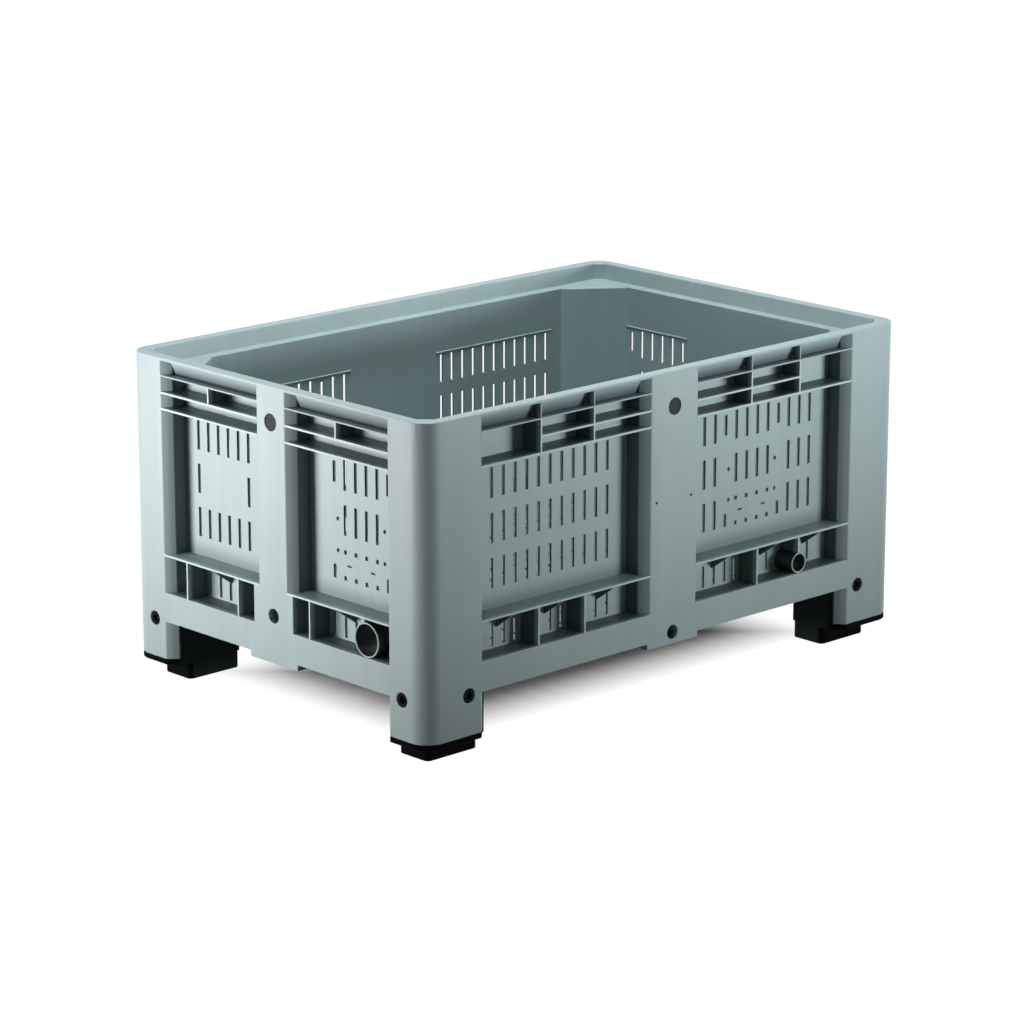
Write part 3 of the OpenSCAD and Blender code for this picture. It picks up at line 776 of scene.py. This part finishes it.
# Painted shade, near black, on the spouts' faces that don't look straight out.
paint_recess_shade(spout_grey, SPOUT_SHADE_TINT, SPOUT_SHADE_START, SPOUT_SHADE_FULL)
for spout in ("spout_wide", "spout_narrow"):
    finished(spout, THIN_ROUNDING, spout_grey)


# Feet: pads with a flange and a spigot that goes up into the corner post.
# Black rubbery polyethylene, moulded separately and held by two pins each; their inner sides are painted
# lighter, painted light where they stand in the bin's shade.
FOOT_DARK = (0.002, 0.0025, 0.0029)
FOOT_LIGHT = (0.004, 0.005, 0.0056)
INNER_SIDE_LIGHT_TONE = (0.07, 0.09, 0.093)
FOOT_ROUNDING = 1.5 * MM


def paint_light_on_inner_sides(material):
    """Paints light: a lighter tone on the upright faces that look towards the bin's middle."""
    tree = material.node_tree
    texture = tree.nodes.new("ShaderNodeTexCoord").outputs
    x, y, _ = parts_of(tree, texture["Object"])
    facing_x, facing_y, _ = parts_of(tree, texture["Normal"])
    endwards = product(tree, facing_x, reckon(tree, "SIGN", x))
    sidewards = product(tree, facing_y, reckon(tree, "SIGN", y))
    inwards = product(tree, reckon(tree, "ADD", endwards, sidewards), -1)
    lay_tone(tree, eased(tree, inwards, FACING_START, FACING_FULL), INNER_SIDE_LIGHT_TONE, "MIX")


foot_black = moulded_plastic(
    "foot_black", FOOT_DARK, FOOT_LIGHT, roughness=0.6, gloss=0.012, grain_height=0.3 * MM
)
# Painted light lightens the feet's inward faces.
paint_light_on_inner_sides(foot_black)
for corner in CORNERS:
    finished("foot_" + corner, FOOT_ROUNDING, foot_black)


# Foot pins: plain pins through the legs that lock the feet, with a socket to draw them out by.
# Dark grey nylon, pushed in from the outer faces; the sockets' bottoms are a lighter grey.
PIN_DARK = (0.004, 0.0055, 0.006)
PIN_LIGHT = (0.007, 0.009, 0.0098)
SOCKET_TONE = (0.16, 0.22, 0.225)
SOCKET_START = 5 * MM
SOCKET_END = 15 * MM
PIN_ROUNDING = 1 * MM


def tone_socket_bottoms(material):
    """Lays a lighter tone on the sockets' bottoms, which lie a little way in from the bin's outer planes."""
    tree = material.node_tree
    end_depth, side_depth, _, outwards, _ = wall_terms(tree)
    depth = reckon(tree, "MINIMUM", end_depth, side_depth)
    past_start = reckon(tree, "GREATER_THAN", depth, SOCKET_START)
    before_end = reckon(tree, "LESS_THAN", depth, SOCKET_END)
    lay_tone(tree, product(tree, outwards, past_start, before_end), SOCKET_TONE, "MIX")


pin_black = moulded_plastic(
    "pin_black", PIN_DARK, PIN_LIGHT, roughness=0.5, gloss=0.03, grain_height=0.1 * MM
)
tone_socket_bottoms(pin_black)
for corner in CORNERS:
    for face in ("long", "short"):
        finished(f"foot_pin_{corner}_{face}", PIN_ROUNDING, pin_black)


# Post plugs: flat caps that close the round holes high on the middle posts.
# Dark grey polyethylene, pressed in.
PLUG_DARK = (0.014, 0.024, 0.025)
PLUG_LIGHT = (0.02, 0.034, 0.036)
plug_black = moulded_plastic(
    "plug_black", PLUG_DARK, PLUG_LIGHT, roughness=0.5, gloss=0.1, grain_height=0.1 * MM
)
for side in SIDES:
    finished("post_plug_" + side, THIN_ROUNDING, plug_black)


# Post rivets: small round heads a hand's width apart on the long sides' middle posts.
# Dark grey polyethylene, pushed into blind holes.
RIVET_RADIUS = 2.6 * MM
RIVET_FLATNESS = 0.35
RIVET_SEGMENTS = 16
RIVET_RINGS = 8
RIVET_HALF_GAP = 44 * MM
RIVET_HEIGHT = 374 * MM


def rivet_heads(tree, entrance):
    """A flattened round head on each point."""
    head = tree.nodes.new("GeometryNodeMeshUVSphere")
    head.inputs["Segments"].default_value = RIVET_SEGMENTS
    head.inputs["Rings"].default_value = RIVET_RINGS
    placed = tree.nodes.new("GeometryNodeInstanceOnPoints")
    placed.inputs["Scale"].default_value = (1, RIVET_FLATNESS, 1)
    tree.links.new(entrance["Radius"], head.inputs["Radius"])
    tree.links.new(entrance["Places"], placed.inputs["Points"])
    tree.links.new(head.outputs["Mesh"], placed.inputs["Instance"])
    return placed.outputs["Instances"]


rivets = []
for side in ("front", "back"):
    for hand in (-1, 1):
        rivets.append(on_wall(side, hand * RIVET_HALF_GAP, 0, RIVET_HEIGHT))
rivet_places = bpy.data.meshes.new("rivet_places")
rivet_places.from_pydata(rivets, [], [])
rivet_tree = shaped_tree("rivet", rivet_heads)
grown("post_rivets", rivet_places, rivet_tree, RIVET_RADIUS, plug_black)


# Studio: a grey floor that keeps the bin's shadow and shows white a little way from it; under the bin its
# white glow fades, a painted shadow.
# Three soft lamps stand low around the bin, beyond its left end, before its right end and behind it,
# and a small one hangs over it.
FLOOR_HALF = 30
FLOOR_GREY = (0.16, 0.15, 0.147)
SHADOW_CORE = 0.27
SHADOW_EDGE = 0.07
NEAR_GLOW = 0.02
AMBIENT = 0.04
WARM_WHITE = (1, 0.915, 0.905)
WHITE = (1, 1, 1)


def seen_directly(tree):
    """1 for rays that show the surround itself: from the camera, a mirror or glass."""
    path = tree.nodes.new("ShaderNodeLightPath").outputs
    seen = reckon(tree, "MAXIMUM", path["Is Camera Ray"], path["Is Glossy Ray"])
    return reckon(tree, "MAXIMUM", seen, path["Is Transmission Ray"])


def out_of_shadow(tree, core, edge):
    """The painted shadow's shape: 0 well under the bin, rising softly to 1 short of its sides."""
    x, y, _ = sizes_of(tree, tree.nodes.new("ShaderNodeTexCoord").outputs["Object"])
    past_end = reckon(tree, "SUBTRACT", x, bin_half.x)
    past_side = reckon(tree, "SUBTRACT", y, bin_half.y)
    return eased(tree, reckon(tree, "MAXIMUM", past_end, past_side), -core, -edge)


def soft_lamp(name, place, target, width, height, spread, colour, power):
    """A rectangular lamp that faces a target, with its beam narrowed to a spread."""
    data = bpy.data.lights.new(name, "AREA")
    data.shape = "RECTANGLE"
    data.size = width
    data.size_y = height
    data.spread = math.radians(spread)
    data.color = colour
    data.energy = power
    lamp = added(name, data)
    lamp.location = place
    lamp.rotation_euler = (Vector(target) - lamp.location).to_track_quat("-Z", "Y").to_euler()


floor_corners = [(x * FLOOR_HALF, y * FLOOR_HALF, 0) for x, y in ((-1, -1), (1, -1), (1, 1), (-1, 1))]
floor_mesh = bpy.data.meshes.new("floor")
floor_mesh.from_pydata(floor_corners, [], [(0, 1, 2, 3)])
floor = added("floor", floor_mesh)
floor_paint = bpy.data.materials.new("floor_paint")
floor_paint.use_nodes = True
tree = floor_paint.node_tree
paint = tree.nodes["Principled BSDF"].inputs
paint["Base Color"].default_value = (*FLOOR_GREY, 1)
paint["Roughness"].default_value = 1
paint["Specular IOR Level"].default_value = 0
paint["Emission Color"].default_value = (*WHITE, 1)
# The floor's glow fades under the bin, a painted shadow.
glow_with_painted_shadow = between(tree, out_of_shadow(tree, SHADOW_CORE, SHADOW_EDGE), NEAR_GLOW, 1)
tree.links.new(product(tree, seen_directly(tree), glow_with_painted_shadow), paint["Emission Strength"])
floor_mesh.materials.append(floor_paint)

world = bpy.data.worlds.new("surround")
bpy.context.scene.world = world
world.use_nodes = True
tree = world.node_tree
surround = tree.nodes["Background"].inputs
surround["Color"].default_value = (*WHITE, 1)
tree.links.new(between(tree, seen_directly(tree), AMBIENT, 1), surround["Strength"])

soft_lamp(
    "left_lamp", place=(-2.2, 1.0, 0.45), target=(-0.6, 0.16, 0.5),
    width=1.0, height=0.5, spread=62, colour=WARM_WHITE, power=8.7,
)
soft_lamp(
    "right_lamp", place=(1.9, -3.2, 0.7), target=(0.3, -0.4, 1.05),
    width=1.4, height=0.5, spread=50, colour=WHITE, power=11.2,
)
soft_lamp(
    "back_lamp", place=(2.0, 3.0, 0.31), target=(0.2, 0.3, 0.4),
    width=1.4, height=0.5, spread=55, colour=WHITE, power=11,
)
soft_lamp(
    "top_lamp", place=(0.02, 0, 2.8), target=(0.02, 0, 0.6),
    width=0.7, height=0.7, spread=120, colour=WHITE, power=28,
)


# Camera: stands before the left front corner, a little above the rim.
# A long lens from far off keeps the bin's uprights nearly parallel.
VIEW_AZIMUTH = math.radians(-43.391)
VIEW_ELEVATION = math.radians(15.10)
VIEW_DISTANCE = 7.2684
VIEW_RIGHT = -0.01437
VIEW_UP = -0.03244
LENS = 137.25
SENSOR_WIDTH = 36
bin_middle = (cad_box[0] + cad_box[1]) / 2
backwards = Vector((
    math.sin(VIEW_AZIMUTH) * math.cos(VIEW_ELEVATION),
    -math.cos(VIEW_AZIMUTH) * math.cos(VIEW_ELEVATION),
    math.sin(VIEW_ELEVATION),
))
rightwards = Vector((math.cos(VIEW_AZIMUTH), math.sin(VIEW_AZIMUTH), 0))
upwards = backwards.cross(rightwards)
camera_data = bpy.data.cameras.new("camera")
camera_data.lens = LENS
camera_data.sensor_width = SENSOR_WIDTH
camera = added("camera", camera_data)
camera.location = bin_middle + rightwards * VIEW_RIGHT + upwards * VIEW_UP + backwards * VIEW_DISTANCE
camera.rotation_euler = Matrix((rightwards, upwards, backwards)).transposed().to_euler()
bpy.context.scene.camera = camera
bpy.context.scene.view_settings.view_transform = "Standard"
